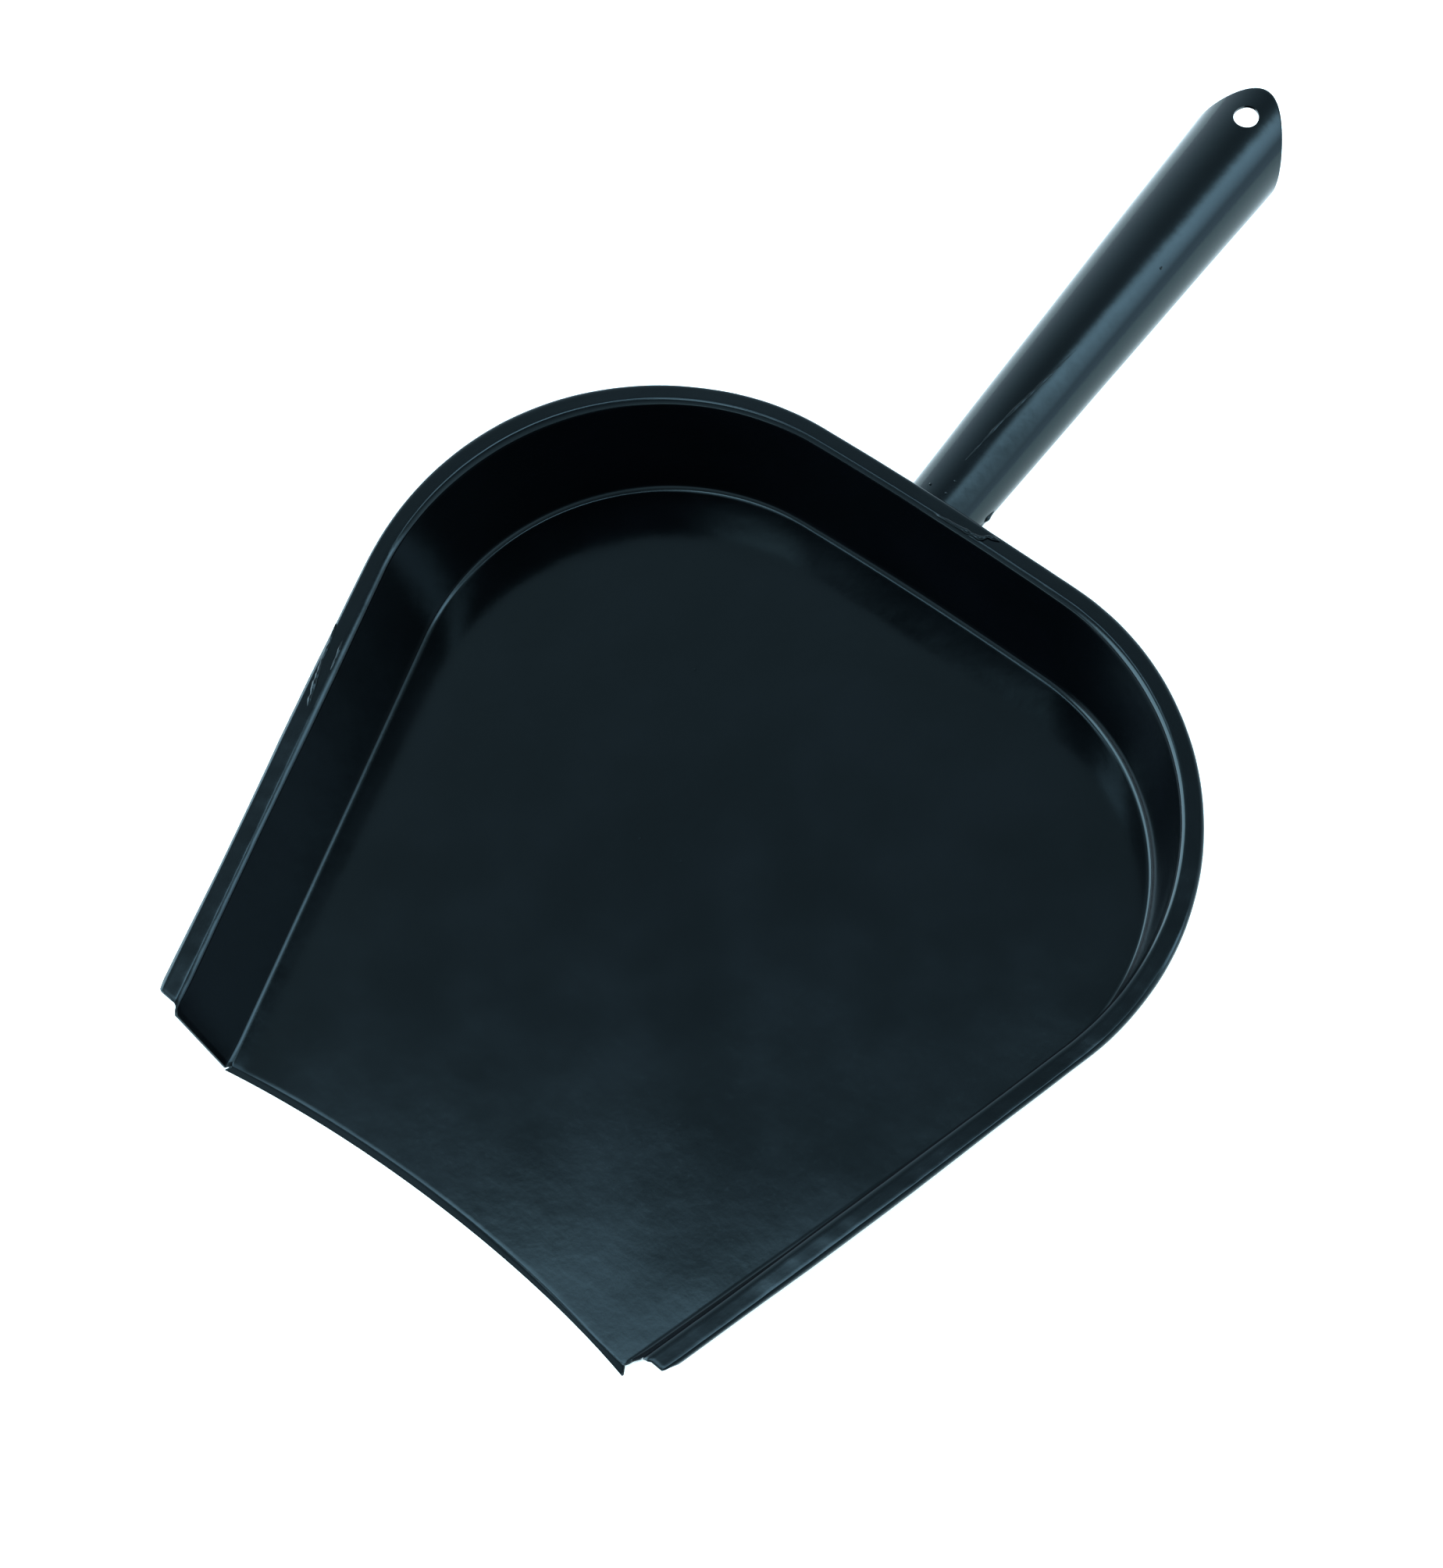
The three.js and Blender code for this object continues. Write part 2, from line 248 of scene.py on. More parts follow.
def closed_roll(path, first, second, radius, around):
    """Points and faces of a roll along a path, capped at both ends. Its rings turn from the first direction
    at each point towards the second."""
    turn = np.linspace(0, 2 * math.pi, around, endpoint=False)[:, None]
    ring = first[:, None] * np.cos(turn) + second[:, None] * np.sin(turn)
    points = (path[:, None] + ring * radius[:, None, None]).reshape(-1, 3)
    last = (len(path) - 1) * around
    caps = [list(range(around))[::-1], list(range(last, last + around))]
    return points, [*grid_faces(len(path), around, wrap=True).tolist(), *caps]


# ---------------------------------------------------------------- shader nodes


def feed(tree, value, socket):
    """Joins an input to another node's output, or sets it to a plain value."""
    if isinstance(value, bpy.types.NodeSocket):
        tree.links.new(value, socket)
    else:
        socket.default_value = value


def span(tree, value, source, target, kind="SMOOTHSTEP"):
    """The value, carried over from the source range to the target range."""
    node = tree.nodes.new("ShaderNodeMapRange")
    node.interpolation_type = kind
    for key, number in zip(("From Min", "From Max", "To Min", "To Max"), (*source, *target)):
        node.inputs[key].default_value = number
    feed(tree, value, node.inputs["Value"])
    return node.outputs["Result"]


def maths(tree, kind, a, b):
    node = tree.nodes.new("ShaderNodeMath")
    node.operation = kind
    feed(tree, a, node.inputs[0])
    feed(tree, b, node.inputs[1])
    return node.outputs[0]


def blend(tree, factor, a, b, kind="FLOAT"):
    node = tree.nodes.new("ShaderNodeMix")
    node.data_type = kind
    for key, value in (("Factor", factor), ("A", a), ("B", b)):
        feed(tree, value, node.inputs[key])
    return node.outputs["Result"]


# ---------------------------------------------------------------- paint

PAINT_DARK = (0.0001, 0.0002, 0.0005, 1)
PAINT_CLOUDED = (0.0004, 0.0005, 0.0011, 1)
PAINT_SHEEN = (0.66, 0.96, 1.0, 1)
PAINT_INDEX = 1.36  # of refraction
ROUGHNESS = (0.13, 0.17)  # where the paint is clear and where it's clouded
DUST_ROUGHNESS = 0.03
UNEVENNESS = 0.05
PEEL_HEIGHT, SWELL_HEIGHT = 0.0004, 0.001

# Patterns in the paint: scale, detail and roughness of each, and the stretches of them that count.
CLOUDS = (28, 4, 0.55)
DUST = (900, 2, 0.6)
PEEL = (260, 3, 0.5)
SWELL = (60, 2, 0.5)
CLOUDS_IN_COLOUR = (0.35, 0.75)
CLOUDS_IN_GLOSS = (0.3, 0.7)
DUST_IN_GLOSS = (0.55, 0.8)


def paint(name):
    """Thick gloss black paint: nearly no colour of its own, a cool gloss, orange peel, clouding and dust."""
    material = bpy.data.materials.new(name)
    material.use_nodes = True
    tree = material.node_tree
    shader = tree.nodes["Principled BSDF"]
    shader.inputs["Specular Tint"].default_value = PAINT_SHEEN
    shader.inputs["IOR"].default_value = PAINT_INDEX
    place = tree.nodes.new("ShaderNodeTexCoord").outputs["Object"]

    def noise(scale, detail, rough):
        node = tree.nodes.new("ShaderNodeTexNoise")
        for key, value in (("Scale", scale), ("Detail", detail), ("Roughness", rough), ("Vector", place)):
            feed(tree, value, node.inputs[key])
        return node.outputs["Fac"]

    def bumps(height, reach):
        node = tree.nodes.new("ShaderNodeBump")
        node.inputs["Strength"].default_value = UNEVENNESS
        node.inputs["Distance"].default_value = reach
        feed(tree, height, node.inputs["Height"])
        return node

    clouds = noise(*CLOUDS)
    share = span(tree, clouds, CLOUDS_IN_COLOUR, (0, 1))
    colour = blend(tree, share, PAINT_DARK, PAINT_CLOUDED, "RGBA")
    feed(tree, colour, shader.inputs["Base Color"])
    clouding = span(tree, clouds, CLOUDS_IN_GLOSS, ROUGHNESS)
    dusting = span(tree, noise(*DUST), DUST_IN_GLOSS, (0, DUST_ROUGHNESS))
    feed(tree, maths(tree, "ADD", clouding, dusting), shader.inputs["Roughness"])

    peel = bumps(noise(*PEEL), PEEL_HEIGHT)
    swell = bumps(noise(*SWELL), SWELL_HEIGHT)
    feed(tree, peel.outputs["Normal"], swell.inputs["Normal"])
    feed(tree, swell.outputs["Normal"], shader.inputs["Normal"])
    return material


# ---------------------------------------------------------------- the pan


def crease_stations():
    """The +X half of the floor outline: points, the directions that the wall sections are drawn along, and
    how deep the centre of the shoulder lies."""
    side = np.array([math.sin(SIDE_FLARE), math.cos(SIDE_FLARE)])
    side_out = np.array([side[1], -side[0]])
    corner = np.array([MOUTH_HALF_WIDTH, 0.0])
    back_centre = np.array([0.0, FLOOR_DEPTH - BACK_RADIUS])
    start = corner - side_out * SHOULDER_RADIUS - back_centre
    along = start @ side
    reach = BACK_RADIUS - SHOULDER_RADIUS
    side_length = math.sqrt(along**2 - start @ start + reach**2) - along
    centre = start + side * side_length + back_centre

    t = np.arange(SIDE_ROWS)[:, None] / SIDE_ROWS
    points = [corner + side * side_length * t]
    outs = [side_out + side * math.tan(SIDE_FLARE) * (1 - t)]
    meeting = math.atan2(*(centre - back_centre)[::-1])
    for hub, radius, a, b, count in (
        (centre, SHOULDER_RADIUS, -SIDE_FLARE, meeting, SHOULDER_ROWS),
        (back_centre, BACK_RADIUS, meeting, math.pi / 2, BACK_ROWS),
    ):
        last = count + 1 if hub is back_centre else count
        angle = mix(a, b, np.arange(last)[:, None] / count)
        out = np.hstack([np.cos(angle), np.sin(angle)])
        points.append(hub + out * radius)
        outs.append(out)
    return np.vstack(points), np.vstack(outs), centre[1]


def wall_section(depth, side):
    """Upper face of wall and rim in section: rows of r, z and the unit normal."""
    share = depth / FLOOR_DEPTH
    height, lean = mix(*WALL_HEIGHT, share), mix(*WALL_LEAN, share)
    lean -= PINCH[side] * max(0, 1 - depth / PINCH_REACH) ** 2
    turn = math.pi / 2 - math.atan2(lean, height)

    def arc(r, z, radius, a, b, count, hollow=1):
        angle = np.linspace(a, b, count + 1)
        n = np.stack([np.sin(angle), np.cos(angle)], -1)
        return np.hstack([np.array([r, z]) + hollow * radius * n, n])

    tangent = math.tan(turn / 2)
    crease = arc(-CREASE_RADIUS * tangent, CREASE_RADIUS, CREASE_RADIUS, 0, -turn, CREASE_COLUMNS, -1)
    bend = arc(lean + BEND_RADIUS * tangent, height - BEND_RADIUS, BEND_RADIUS, -turn, 0, BEND_COLUMNS)
    edge = lean + mix(*RIM_WIDTH, share)
    roll = arc(edge - ROLL_RADIUS, height - ROLL_RADIUS, ROLL_RADIUS, 0, math.pi / 2, ROLL_COLUMNS)
    wall = mix(crease[-1], bend[0], np.linspace(0, 1, WALL_COLUMNS + 1)[1:-1, None])
    rim = mix(bend[-1], roll[0], np.linspace(0, 1, RIM_COLUMNS + 1)[1:-1, None])
    skirt = np.array([[edge, height - ROLL_RADIUS - ROLL_SKIRT, 1, 0]])
    section = np.vstack([crease, wall, bend, rim, roll, skirt])
    section[:, 1] += RIM_RISE[side] * (1 - share) ** 2 * np.clip(section[:, 0] - lean, 0, None)
    return section


def crown_height(inward):
    """How far the floor stands above the crease, at distances inward from it."""
    return CROWN * (1 - np.clip(1 - inward / CROWN_REACH, 0, 1) ** 2)


def sheet_row(point, out, spine_y, side):
    """One row across the upper face, from the centre line to the rim's edge: points and unit normals. On
    the centre line it lies no deeper than spine_y, so the rows of the shoulder and the back fan out."""
    section = wall_section(point[1], side)
    wall = np.column_stack([point + section[:, :1] * out, section[:, 1]])
    across = out / np.linalg.norm(out)
    wall_normals = np.column_stack([section[:, 2:3] * across, section[:, 3]])
    t = 1 - (1 - np.linspace(0, 1, FLOOR_COLUMNS, endpoint=False)) ** FLOOR_SPACING
    foot = wall[0]
    hollow = MOUTH_SAG * (1 - t**2) * max(0, 1 - foot[1] / HOLLOW_FADE) ** 2
    floor = np.column_stack([foot[0] * t, mix(min(foot[1], spine_y), foot[1], t) + hollow, 0 * t])
    inward = np.linalg.norm(floor[:, :2] - foot[:2] - hollow[:, None] * [0, 1], axis=1)
    floor[:, 2] = crown_height(inward)
    normals = np.vstack([np.tile([0.0, 0.0, 1.0], (FLOOR_COLUMNS, 1)), wall_normals])
    return np.vstack([floor, wall]), normals


def shape_front(rows, side):
    """Shifts the front edge of the wall, and cuts back the front end of the rim and its roll."""
    top = WALL_HEIGHT[0]
    for k in range(FRONT_FADE_ROWS):
        points = rows[k][0][FLOOR_COLUMNS:]
        height = points[:, 2]
        mask = np.clip(height / FOOT_FADE, 0, 1) * np.clip((top - height) / TOP_FADE, 0, 1)
        fade = (1 - k / FRONT_FADE_ROWS) ** 2
        points[:, 1] -= mask * fade * mix(*WALL_REACH[side], height / top)
    rim = slice(-(RIM_COLUMNS + ROLL_COLUMNS + 1), None)
    for k in range(ROLL_START_ROWS):
        points = rows[k][0]
        fade = (1 - k / ROLL_START_ROWS) ** 2
        drop = np.max(points[:, 2]) - points[rim, 2]
        points[rim, 1] += fade * (ROLL_SET_BACK * drop + np.linspace(0, RIM_SET_BACK, len(drop)))


def lip_normal(share):
    """The upward normal where the lip has this share of its full slope."""
    angle = LIP_SLOPE * share
    return 0, -math.sin(angle), math.cos(angle)


def lip_rows(points, normals, side):
    """The rows ahead of the first one: the lip curves down from its fold to its free edge."""
    floor = slice(0, FLOOR_COLUMNS + 1)
    rows = []
    for k in range(LIP_ROWS, 0, -1):
        p, n = points.copy(), normals.copy()
        t = k / LIP_ROWS
        bend = min(1.0, t * LIP_TURN)
        p[floor, 1] -= LIP_WIDTH * t * (1 + LIP_LONGER[side] * (p[floor, 0] / MOUTH_HALF_WIDTH) ** 4)
        p[floor, 0] *= 1 + LIP_SPREAD * t
        p[floor, 2] -= LIP_DROP * (t - LIP_BULGE * bend * (2 - bend) * (1 - t))
        n[floor] = lip_normal(mix(LIP_FIRST_TURN, 1, bend))
        rows.append((p, n))
    normals[floor] = lip_normal(LIP_FIRST_TURN)
    return rows


def pan_half(side):
    """The upper face of one half, drawn on the +X side: arrays of points and normals, lip first."""
    stations, outs, spine_y = crease_stations()
    rows = [sheet_row(point, out, spine_y, side) for point, out in zip(stations, outs)]
    shape_front(rows, side)
    rows = lip_rows(*rows[0], side) + rows
    return np.array([r[0] for r in rows]), np.array([r[1] for r in rows])


def roughen(points, normals):
    """What hand work and thick paint do to the sheet: slow waves in it, and finer ones along its bends."""
    height = points[..., 2]
    wall = np.clip(height / WAVY_HEIGHT, 0, 1)
    below_top = height - np.max(height, axis=1, keepdims=True)
    everywhere, added = BEND_WAVE_HEIGHTS
    lift = sum(ripple(points, seed, length) * mix(*heights, wall) for seed, length, *heights in SHEET_WAVES)
    bends = np.exp(-((below_top / BEND_WAVE_REACH) ** 2))
    lift = lift + ripple(points, *BEND_WAVES) * (everywhere + added * bends)
    return points + normals * lift[..., None]


def upper_face():
    """The whole upper face, from the left half's lip round to the right half's: points and unit normals."""
    mirror = np.array([-1.0, 1, 1])
    left, left_normals = pan_half("left")
    right, right_normals = pan_half("right")
    top = np.concatenate([left * mirror, right[-2::-1]])
    normals = np.concatenate([left_normals * mirror, right_normals[-2::-1]])
    floor = top[:, : FLOOR_COLUMNS + 1]
    flatter = ramp(floor[..., 0], *FLAT_ACROSS) * ramp(floor[..., 1], *FLAT_ALONG)
    floor[..., 2] *= 1 - FLATTENING * np.where(floor[..., 2] > 0, flatter, 0)
    return roughen(top, normals), normals


def front_edge(loop, middle):
    """Rows that round over the front edge of the sheet, ahead of a loop."""
    rows = []
    for k in range(1, FRONT_ROWS + 1):
        a = math.pi / 2 * k / FRONT_ROWS
        ahead = np.array([0, -SHEET / 2 * math.sin(a) * FRONT_ROUNDING, 0])
        rows.append(middle + (loop - middle) * math.cos(a) + ahead)
    return rows


def pan_piece(material):
    """Each row across becomes a loop: along the upper face, round the rim's edge, back along the lower face.
    The end loops close onto their middles, which lie half-way through the sheet."""
    top, normals = upper_face()
    bottom = top - normals * SHEET
    middle = (top + bottom) / 2
    rim_middle = middle[:, -1:]
    over = top[:, -1:] - rim_middle
    down = unit(top[:, -1:] - top[:, -2:-1]) * SHEET / 2
    angle = np.linspace(0, math.pi, EDGE_COLUMNS + 1)[1:-1, None]
    edge = rim_middle + over * np.cos(angle) + down * np.sin(angle)
    loops = np.concatenate([top, edge, bottom[:, ::-1]], axis=1)
    middles = np.concatenate([middle, np.repeat(rim_middle, len(angle), axis=1), middle[:, ::-1]], axis=1)
    first, last = front_edge(loops[0], middles[0]), front_edge(loops[-1], middles[-1])
    rows = np.array([*first[::-1], *loops, *last])
    return add_piece("pan_body", rows.reshape(-1, 3), grid_faces(*rows.shape[:2]), "pan", material)


# ---------------------------------------------------------------- the handle

# The handle's frame has its origin on the tube's axis, straight below the top edge of the back wall.
handle_root = Matrix.Translation((HANDLE_OFFSET, FLOOR_DEPTH + WALL_LEAN[1], HANDLE_HEIGHT))
handle_place = handle_root @ Matrix.Rotation(HANDLE_SLOPE, 4, "X")
wall_slope = WALL_LEAN[1] / WALL_HEIGHT[1]  # of the back wall, outward for each millimetre of height


def tube_radius(along):
    return HANDLE_ROOT_RADIUS + HANDLE_TAPER * along


def bow(a, b, c, t):
    """A curve from a to c that is drawn towards b."""
    return (1 - t) ** 2 * a + 2 * t * (1 - t) * b + t**2 * c


def tongue_edge(height):
    """How far along the tube the cut edge lies, at heights above the axis."""
    root = HANDLE_LENGTH - TONGUE_LENGTH
    crown = tube_radius(HANDLE_LENGTH) + CUT_OVER_CROWN
    t = np.linspace(0, 1, CUT_STEPS)
    sweep_along = bow(root + CUT_KNEE[0], root + CUT_PULL[0], HANDLE_LENGTH, t)
    sweep_height = bow(CUT_KNEE[1], CUT_PULL[1], crown, t)
    along = np.concatenate([[root + CUT_FOOT[0]], sweep_along])
    return np.interp(height, np.concatenate([[CUT_FOOT[1]], sweep_height]), along)


def tube_end(angle, inset):
    """Where the tube meets the cut, found in rounds, because its radius grows with its length."""
    end = np.full_like(angle, HANDLE_LENGTH)
    for _ in range(CUT_ROUNDS):
        radius = tube_radius(end) - inset
        end = mix(end, tongue_edge(radius * np.cos(angle)), CUT_ROUND_SHARE)
    return end


def tube_start(angle, inset):
    """Where the tube meets the outer face of the back wall."""
    lift = (HANDLE_ROOT_RADIUS - inset) * np.cos(angle) + HANDLE_HEIGHT - WALL_HEIGHT[1]
    return lift * wall_slope + SHEET


def tube_face(angle, inset):
    """Rings of a face of the tube, so far under its skin, from the back wall to the cut."""
    start, end = tube_start(angle, inset), tube_end(angle, inset)
    rings = []
    for t in 1 - (1 - np.linspace(0, 1, TUBE_ROWS)) ** TUBE_SPACING:
        s = mix(start, end, t)
        radius = tube_radius(s) - inset
        rings.append(np.stack([radius * np.sin(angle), s, radius * np.cos(angle)], -1))
    return rings


def tube_rings(angle):
    """Wavy rings along the outside of the tube, over its rounded cut edge and back along the inside."""
    outside, inside = tube_face(angle, 0), tube_face(angle, SHEET)
    middle, half = (outside[-1] + inside[-1]) / 2, (outside[-1] - inside[-1]) / 2
    ahead = unit(outside[-1] - outside[-3]) * np.linalg.norm(half, axis=-1, keepdims=True)
    tip = [
        middle + half * math.cos(a) + ahead * math.sin(a) * TIP_ROUNDING
        for a in np.linspace(0, math.pi, TIP_ROWS + 1)[1:-1]
    ]
    rings = np.array([*outside, *tip, *inside[::-1]])
    outward = unit(rings * np.array([1, 0, 1]))
    waves = sum(ripple(rings, seed, length)[..., None] * height for seed, length, height in TUBE_WAVES)
    return rings + outward * waves * np.clip(rings[..., 1:2] / TUBE_STEADY, 0, 1)


def handle_piece(material):
    angle = np.linspace(0, 2 * math.pi, TUBE_COLUMNS, endpoint=False)
    rings = tube_rings(angle)
    place = np.array(handle_place)
    points = (place[:3, :3] @ rings.reshape(-1, 3).T).T + place[:3, 3]
    last = (len(rings) - 1) * TUBE_COLUMNS
    k = np.arange(TUBE_COLUMNS)
    root = np.stack([last + k, last + (k + 1) % TUBE_COLUMNS, (k + 1) % TUBE_COLUMNS, k], -1)
    faces = np.vstack([grid_faces(*rings.shape[:2], wrap=True), root])
    piece = add_piece("handle_tube", points, faces, "handle", material)
    drill_hole(piece)
    return piece


def drill_hole(piece):
    radius = tube_radius(HANDLE_LENGTH)
    drill = bmesh.new()
    bmesh.ops.create_cone(
        drill, cap_ends=True, segments=DRILL_SIDES, radius1=HOLE_RADIUS, radius2=HOLE_RADIUS, depth=radius
    )
    drill.transform(
        to_row @ handle_place @ Matrix.Translation((0, HANDLE_LENGTH - HOLE_FROM_TIP, radius))
    )
    mesh = bpy.data.meshes.new("drill")
    drill.to_mesh(mesh)
    drill.free()
    tool = bpy.data.objects.new("drill", mesh)
    bpy.context.scene.collection.objects.link(tool)
    cut = piece.modifiers.new("hole", "BOOLEAN")
    cut.operation, cut.object, cut.solver = "DIFFERENCE", tool, "EXACT"
    bpy.context.view_layer.update()
    graph = bpy.context.evaluated_depsgraph_get()
    done = bpy.data.meshes.new_from_object(piece.evaluated_get(graph))
    piece.modifiers.clear()
    piece.data = done
    bpy.data.objects.remove(tool)
    done.set_sharp_from_angle(angle=SHARP_ANGLE)


def bead_piece(material):
    """The weld: a lumpy roll of metal under thick paint, round the tube where it meets the back wall."""
    wall_y = FLOOR_DEPTH + WALL_LEAN[1] + (HANDLE_HEIGHT - WALL_HEIGHT[1]) * wall_slope + SHEET
    centre = np.array([HANDLE_OFFSET, wall_y + WELD_STAND, HANDLE_HEIGHT])
    angle = np.radians(np.linspace(WELD_FROM, WELD_TO, WELD_STEPS))
    radius = HANDLE_ROOT_RADIUS + WELD_CLEAR
    up = radius * np.sin(angle)
    path = np.column_stack([radius * np.cos(angle), up * wall_slope, up]) + centre
    outward = np.column_stack([np.cos(angle), 0 * angle, np.sin(angle)])
    back = np.broadcast_to([0.0, 1.0, 0.0], outward.shape)
    lumps = BEAD_RADIUS * (1 + WELD_LUMPS * ripple(path, *WELD_WAVES))
    step = np.arange(WELD_STEPS)
    ends = np.clip(np.minimum(step, step[::-1]) / WELD_END_STEPS, THINNEST, 1) ** 0.5
    points, faces = closed_roll(path, outward, back, lumps * ends, WELD_COLUMNS)
    return add_piece("weld_run", points, faces, "weld_bead", material)


# ---------------------------------------------------------------- runs and nibs of thick paint

# Places on the tube are given along it and in degrees to the right of its crown, places on the rim and on
# the floor as x and y. Every run has a radius.
TUBE_RUN = ((21, -2), (36, 3), (51, 11), (68, 19))
TUBE_RUN_RADIUS = 0.4
BACK_RUN = ((-1.4, 233.1), (7.6, 233.6), (13.3, 234.1), (14.6, 236), (18, 236.6))
BACK_RUN_RADIUS = 0.8
BACK_RUN_LIFT, LEFT_RUN_LIFT = -0.3, 0.1  # of their paths over the wall's height
LEFT_RUNS = (
    (((-107.4, 86), (-110.9, 93.8), (-113.2, 99.2)), 0.7),
    (((-112.4, 96), (-114.8, 104), (-117.3, 110)), 0.45),
    (((-109.2, 98), (-110.8, 103), (-112.4, 107)), 0.35),
)
TUBE_DROP = ((5.8, 241.5, 27), (6.4, 247, 27), (5.9, 252.5, 27))  # x, y, z, right of the tube's root
TUBE_DROP_RADIUS = 0.95
FLOOR_NIBS = ((-20.4, 119.5), (-6.8, 120.9), (-40.5, 170.1))
FLOOR_NIB_SIZE = 0.35
TUBE_NIBS = ((9.6, -22), (9.5, 6), (14, 5), (104, 35))
TUBE_NIB_SIZE = 0.4
RUN_LUMPS = 0.2
RUN_TIP = 0.004  # a run swells as a half wave, less this share at each end, so it has small flat ends


def paint_ridge(path, radius, steps=RUN_STEPS):
    """A closed, rounded ridge along a path of points, thinning to almost nothing at both ends."""
    path = np.array(path, float)
    t = np.linspace(0, 1, steps)
    reach = np.linspace(0, 1, len(path))
    line = np.column_stack([np.interp(t, reach, path[:, k]) for k in range(3)])
    line[1:-1] = (line[:-2] + 2 * line[1:-1] + line[2:]) / 4
    forward = unit(np.gradient(line, axis=0))
    side = unit(np.cross(forward, [0, 0, 1.0]))
    up = np.cross(side, forward)
    swell = np.sqrt(np.clip(np.sin(math.pi * np.linspace(RUN_TIP, 1 - RUN_TIP, steps)), 0, 1))
    swell = swell * radius * (1 + RUN_LUMPS * ripple(line, *RUN_WAVES))
    return closed_roll(line, side, up, swell, RUN_COLUMNS)


def on_tube(along, degrees):
    """A point on the upper side of the tube, at a turn to the right of its crown."""
    angle = math.radians(degrees)
    radius = tube_radius(along)
    return handle_place @ Vector((radius * math.sin(angle), along, radius * math.cos(angle)))


def on_rim(x, y, lift):
    return x, y, mix(*WALL_HEIGHT, y / FLOOR_DEPTH) + lift


def nib(place, size):
    x, y, z = place
    return paint_ridge([(x - size, y, z), (x, y, z), (x + size, y, z)], size, NIB_STEPS)


def paint_runs(material):
    parts = [
        paint_ridge([on_tube(*p) for p in TUBE_RUN], TUBE_RUN_RADIUS, LONG_RUN_STEPS),
        paint_ridge([on_rim(*p, BACK_RUN_LIFT) for p in BACK_RUN], BACK_RUN_RADIUS),
        *(paint_ridge([on_rim(*p, LEFT_RUN_LIFT) for p in path], size) for path, size in LEFT_RUNS),
        paint_ridge(TUBE_DROP, TUBE_DROP_RADIUS),
        *(nib((*p, CROWN), FLOOR_NIB_SIZE) for p in FLOOR_NIBS),
        *(nib(on_tube(*p), TUBE_NIB_SIZE) for p in TUBE_NIBS),
    ]
    points, faces = [], []
    for part_points, part_faces in parts:
        base = len(points)
        points.extend(part_points)
        faces.extend([k + base for k in face] for face in part_faces)
    return add_piece("paint_runs", points, faces, None, material)


# ---------------------------------------------------------------- table, light and camera

TABLE_REACH = 12.0  # metres
TABLE_COLOUR = (0.9, 0.92, 0.9, 1)
TABLE_GLOW = (0.78, 1, 1, 1)
TABLE_GLOW_STRENGTH = 0.8
TABLE_ROUGHNESS = 0.9
TABLE_SHINE = 0.1
TABLE_GAP = 0.0001

# A strip of light widens from left of overhead down to the back right. It fills the directions on the
# positive side of its far and near edges, and on the right on that of its side edge too.
FAR_EDGE = (0.475, -0.848, 0.215)
NEAR_EDGE = (-0.242, 0.968, -0.068)
SIDE_EDGE = (-0.27, 0.932, -0.242)
EDGE_BLUR = (-0.05, 0.05)
MIDDLE_BLUR = (-0.03, 0.05)  # where the left half passes into the right
STRIP_RISE = (0.3, 0.75)  # the strip brightens between these heights
STRIP_LEVELS = (2.4, 10)

# The room is pale at the horizon and dark overhead, and dimmer on the mouth's side.
ROOM_PALE = 2.07
ROOM_FALL = 1.8
ROOM_CURVE = 2.3
ROOM_NEAR = (-0.6, -0.1)
ROOM_NEAR_LEVELS = (0.6, 1)

LAMP = (-0.85, -0.4, 0.34)  # a broad round lamp stands low on the left
LAMP_BLUR = (0.8, 0.87)
SMALL_LAMP = (-0.12, -0.21, 0.97)  # and a small one hangs nearly overhead
SMALL_LAMP_BLUR = (0.988, 0.994)
LAMP_LEVEL = 9.4
ROOM_TINT = (0.7, 0.86, 1.02, 1)
STRIP_TINT = (0.64, 0.82, 1.04, 1)

CAMERA_LENS, CAMERA_SENSOR = 74.91, 36
CAMERA_CLIP = (0.01, 60)  # metres
CAMERA_PLACE = (258.16, -117.57, 838.76)
CAMERA_TURN = math.radians(37.84)  # the camera stands this far round to the right of the mouth
CAMERA_LEAN = math.radians(3.533)  # to one side
CAMERA_PITCH = math.radians(24.015)  # up from looking straight down


def table():
    mesh = bpy.data.meshes.new("table")
    corners = ((-1, -1), (1, -1), (1, 1), (-1, 1))
    mesh.from_pydata([(x * TABLE_REACH, y * TABLE_REACH, 0) for x, y in corners], [], [(0, 1, 2, 3)])
    top = bpy.data.objects.new("table", mesh)
    material = bpy.data.materials.new("pale_table")
    material.use_nodes = True
    shader = material.node_tree.nodes["Principled BSDF"]
    shader.inputs["Base Color"].default_value = TABLE_COLOUR
    shader.inputs["Roughness"].default_value = TABLE_ROUGHNESS
    shader.inputs["Specular IOR Level"].default_value = TABLE_SHINE
    shader.inputs["Emission Color"].default_value = TABLE_GLOW
    shader.inputs["Emission Strength"].default_value = TABLE_GLOW_STRENGTH
    mesh.materials.append(material)
    top.location.z = cad_low.z - TABLE_GAP
    bpy.context.scene.collection.objects.link(top)


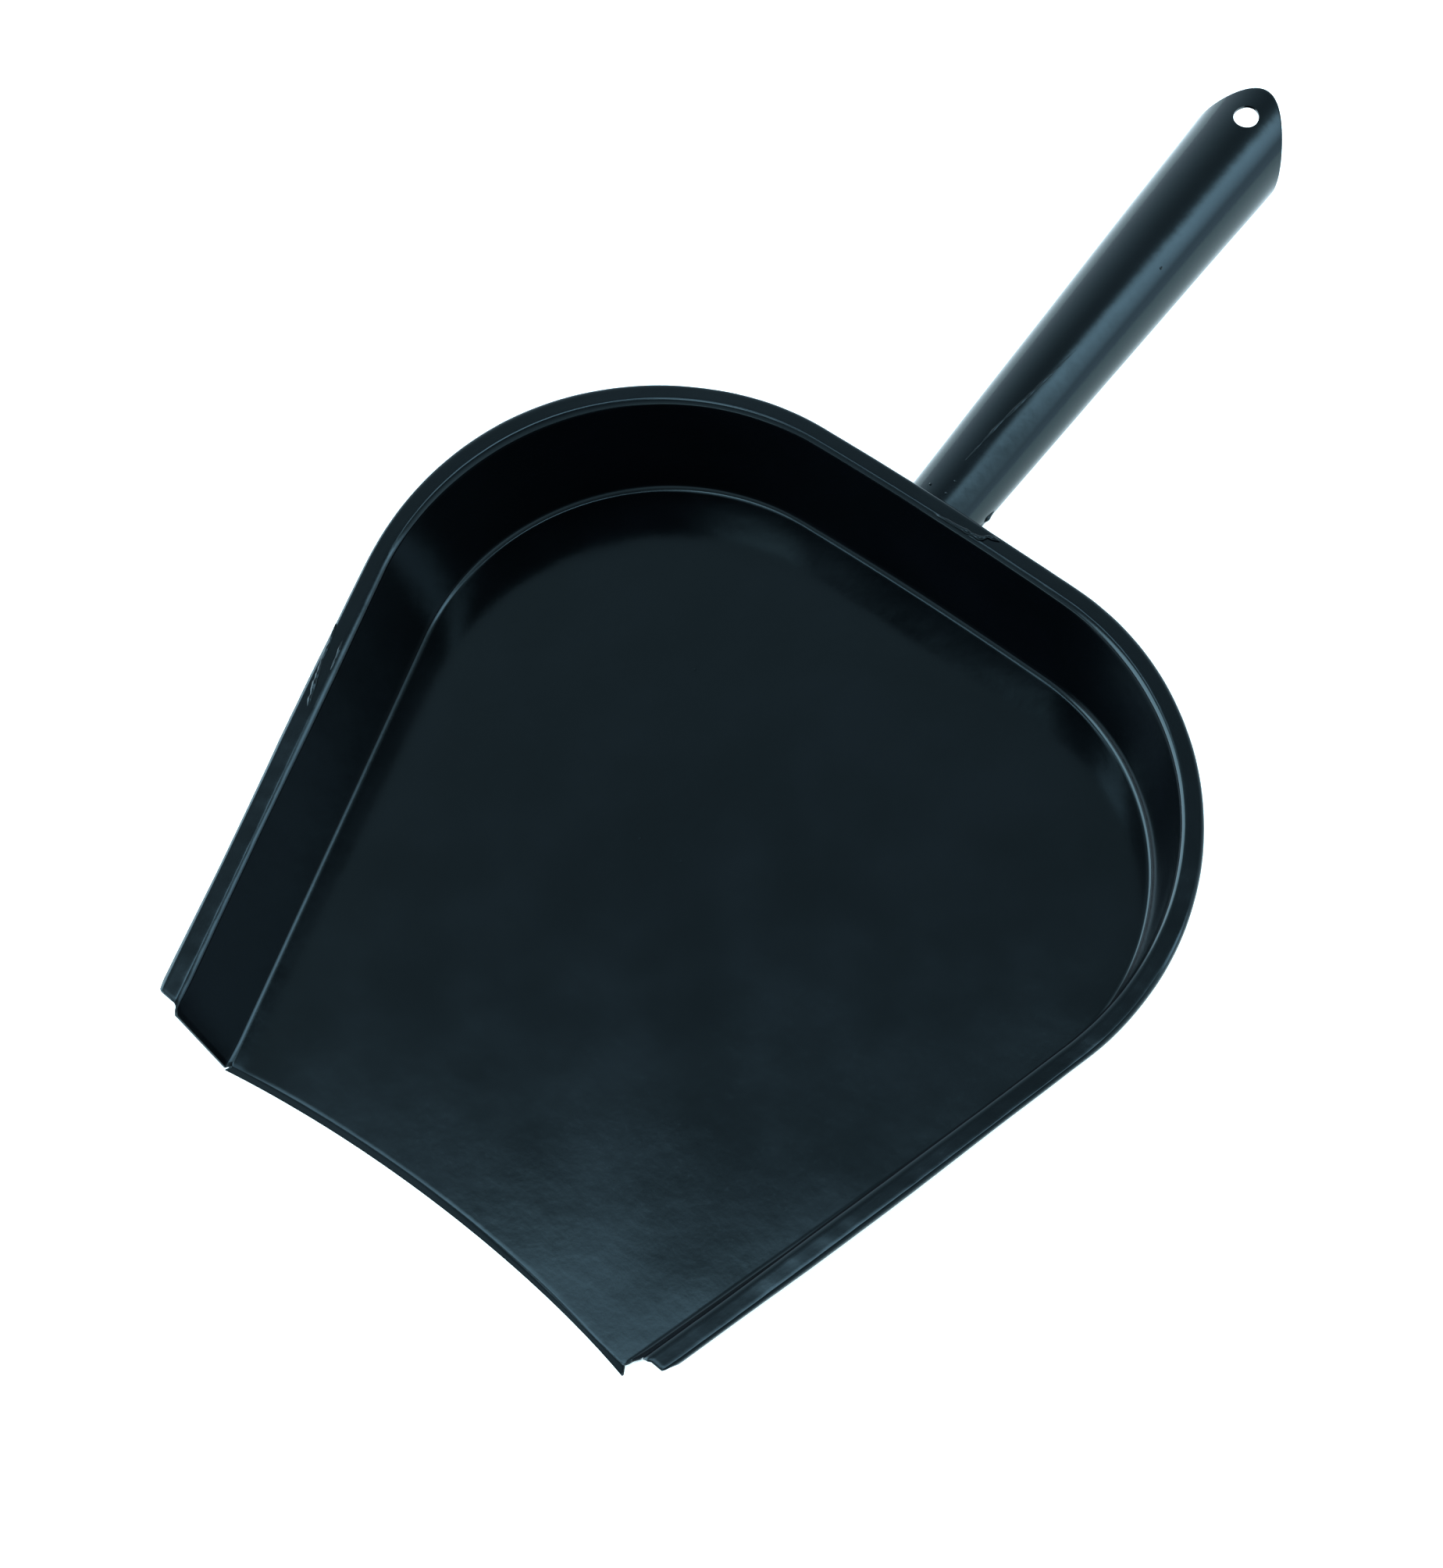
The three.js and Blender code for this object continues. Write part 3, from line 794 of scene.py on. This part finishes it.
def studio():
    """The light all round: a cool room, one bright strip and two round lamps."""
    world = bpy.data.worlds.new("studio")
    bpy.context.scene.world = world
    world.use_nodes = True
    tree = world.node_tree
    way = tree.nodes.new("ShaderNodeTexCoord").outputs["Generated"]

    def dot(vector):
        node = tree.nodes.new("ShaderNodeVectorMath")
        node.operation = "DOT_PRODUCT"
        node.inputs[1].default_value = vector
        feed(tree, way, node.inputs[0])
        return node.outputs["Value"]

    def edge(value, blur):
        return span(tree, value, blur, (0, 1))

    up, beyond = dot((0, 0, 1)), dot(NEAR_EDGE)
    left_half = span(tree, dot((1, 0, 0)), MIDDLE_BLUR, (1, 0))
    sides = maths(tree, "MAXIMUM", edge(dot(SIDE_EDGE), EDGE_BLUR), left_half)
    between = maths(tree, "MULTIPLY", edge(dot(FAR_EDGE), EDGE_BLUR), edge(beyond, EDGE_BLUR))
    in_strip = maths(tree, "MULTIPLY", between, sides)
    strip = span(tree, up, STRIP_RISE, STRIP_LEVELS, "LINEAR")

    height = maths(tree, "POWER", span(tree, up, (0, 1), (0, 1), "LINEAR"), ROOM_CURVE)
    room = maths(tree, "SUBTRACT", ROOM_PALE, maths(tree, "MULTIPLY", ROOM_FALL, height))
    room = maths(tree, "MULTIPLY", room, span(tree, beyond, ROOM_NEAR, ROOM_NEAR_LEVELS, "LINEAR"))

    lamps = maths(tree, "MAXIMUM", edge(dot(LAMP), LAMP_BLUR), edge(dot(SMALL_LAMP), SMALL_LAMP_BLUR))
    level = blend(tree, lamps, blend(tree, in_strip, room, strip), LAMP_LEVEL)
    tint = blend(tree, in_strip, ROOM_TINT, STRIP_TINT, "RGBA")
    background = tree.nodes["Background"]
    feed(tree, tint, background.inputs["Color"])
    feed(tree, level, background.inputs["Strength"])


def camera():
    data = bpy.data.cameras.new("camera")
    data.lens, data.sensor_width = CAMERA_LENS, CAMERA_SENSOR
    data.clip_start, data.clip_end = CAMERA_CLIP
    eye = bpy.data.objects.new("camera", data)
    turn = (
        Matrix.Rotation(CAMERA_TURN, 4, "Z")
        @ Matrix.Rotation(CAMERA_LEAN, 4, "Y")
        @ Matrix.Rotation(CAMERA_PITCH, 4, "X")
    )
    placed = to_row @ Matrix.Translation(CAMERA_PLACE) @ turn
    place, spin, _ = placed.decompose()
    eye.location = place
    eye.rotation_mode = "QUATERNION"
    eye.rotation_quaternion = spin
    bpy.context.scene.collection.objects.link(eye)
    bpy.context.scene.camera = eye


black_paint = paint("black_gloss_paint")
pan_piece(black_paint)
handle_piece(black_paint)
bead_piece(black_paint)
paint_runs(black_paint)
table()
studio()
camera()
bpy.context.scene.view_settings.view_transform = "Standard"
